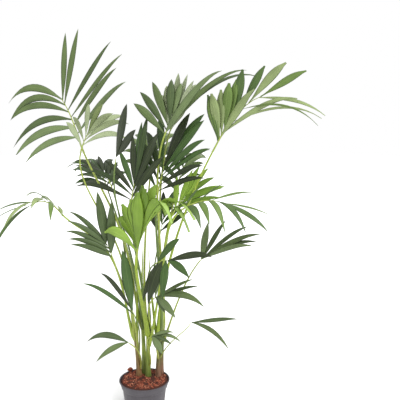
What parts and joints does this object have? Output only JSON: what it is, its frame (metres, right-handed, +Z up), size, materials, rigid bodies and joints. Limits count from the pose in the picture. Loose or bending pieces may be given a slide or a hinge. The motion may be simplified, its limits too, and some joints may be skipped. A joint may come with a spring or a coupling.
{
  "type": "potted kentia palm",
  "caption": "Clump of young kentia palms with long leaf stalks and arching feather fronds, in a round grey nursery pot filled with bark chips.",
  "frame": {"origin": "centre of the pot's flat underside", "axes": "+Z up along the pot's axis, -Y towards the viewer in the plant's front view, +X to the right in that view"},
  "size_m": [1.4514, 0.9598, 1.8454],
  "materials": {
    "pot": "satin moulded grey plastic",
    "bark": "rough red-brown bark chips",
    "sheath": "fibrous olive-brown leaf sheath",
    "stalk": "smooth waxy green leaf stalk",
    "leaf_dark": "satin dark green leaf",
    "leaf_mature": "satin mature green leaf",
    "leaf_mid": "satin mid green leaf",
    "leaf_pale": "matt pale grey-green underside of a leaf",
    "leaf_young": "satin bright yellow-green young leaf"
  },
  "bodies": {
    "root": {"pot": "pot", "bark_fill": "bark", "stem_left_front": "sheath", "stem_left_back": "sheath", "stem_middle": "sheath", "stem_right_front": "sheath", "stem_right_back": "sheath", "stalk_high_left": "stalk", "stalk_pale_left": "stalk", "stalk_dark_left": "stalk", "stalk_slim_left": "stalk", "stalk_dark_centre": "stalk", "stalk_top_centre": "stalk", "stalk_top_pale": "stalk", "stalk_dark_right": "stalk", "stalk_high_right": "stalk", "stalk_young_centre": "stalk", "stalk_bright_right": "stalk", "stalk_arching_right": "stalk", "stalk_low_right": "stalk", "stalk_back_low": "stalk", "stalk_front_centre": "stalk", "stalk_low_left": "stalk", "stalk_foot_left": "stalk", "stalk_foot_right": "stalk", "stalk_small_front": "stalk", "stalk_pair_left": "stalk", "stalk_pair_right": "stalk", "stalk_arching_left": "stalk", "stalk_back_left": "stalk", "stalk_back_middle": "stalk", "stalk_back_right": "stalk", "frond_high_left": "leaf_mature", "frond_pale_left": "leaf_pale", "frond_dark_left": "leaf_dark", "frond_slim_left": "leaf_dark", "frond_dark_centre": "leaf_dark", "frond_top_centre": "leaf_mature", "frond_top_pale": "leaf_pale", "frond_dark_right": "leaf_dark", "frond_high_right": "leaf_mid", "frond_young_centre": "leaf_young", "frond_bright_right": "leaf_young", "frond_arching_right": "leaf_mid", "frond_low_right": "leaf_mature", "frond_back_low": "leaf_dark", "frond_front_centre": "leaf_dark", "frond_low_left": "leaf_mature", "frond_foot_left": "leaf_dark", "frond_foot_right": "leaf_mature", "frond_small_front": "leaf_mature", "frond_pair_left": "leaf_mature", "frond_pair_right": "leaf_mature", "frond_arching_left": "leaf_mid", "frond_back_left": "leaf_dark", "frond_back_middle": "leaf_mature", "frond_back_right": "leaf_mature"}
  },
  "joints": []
}
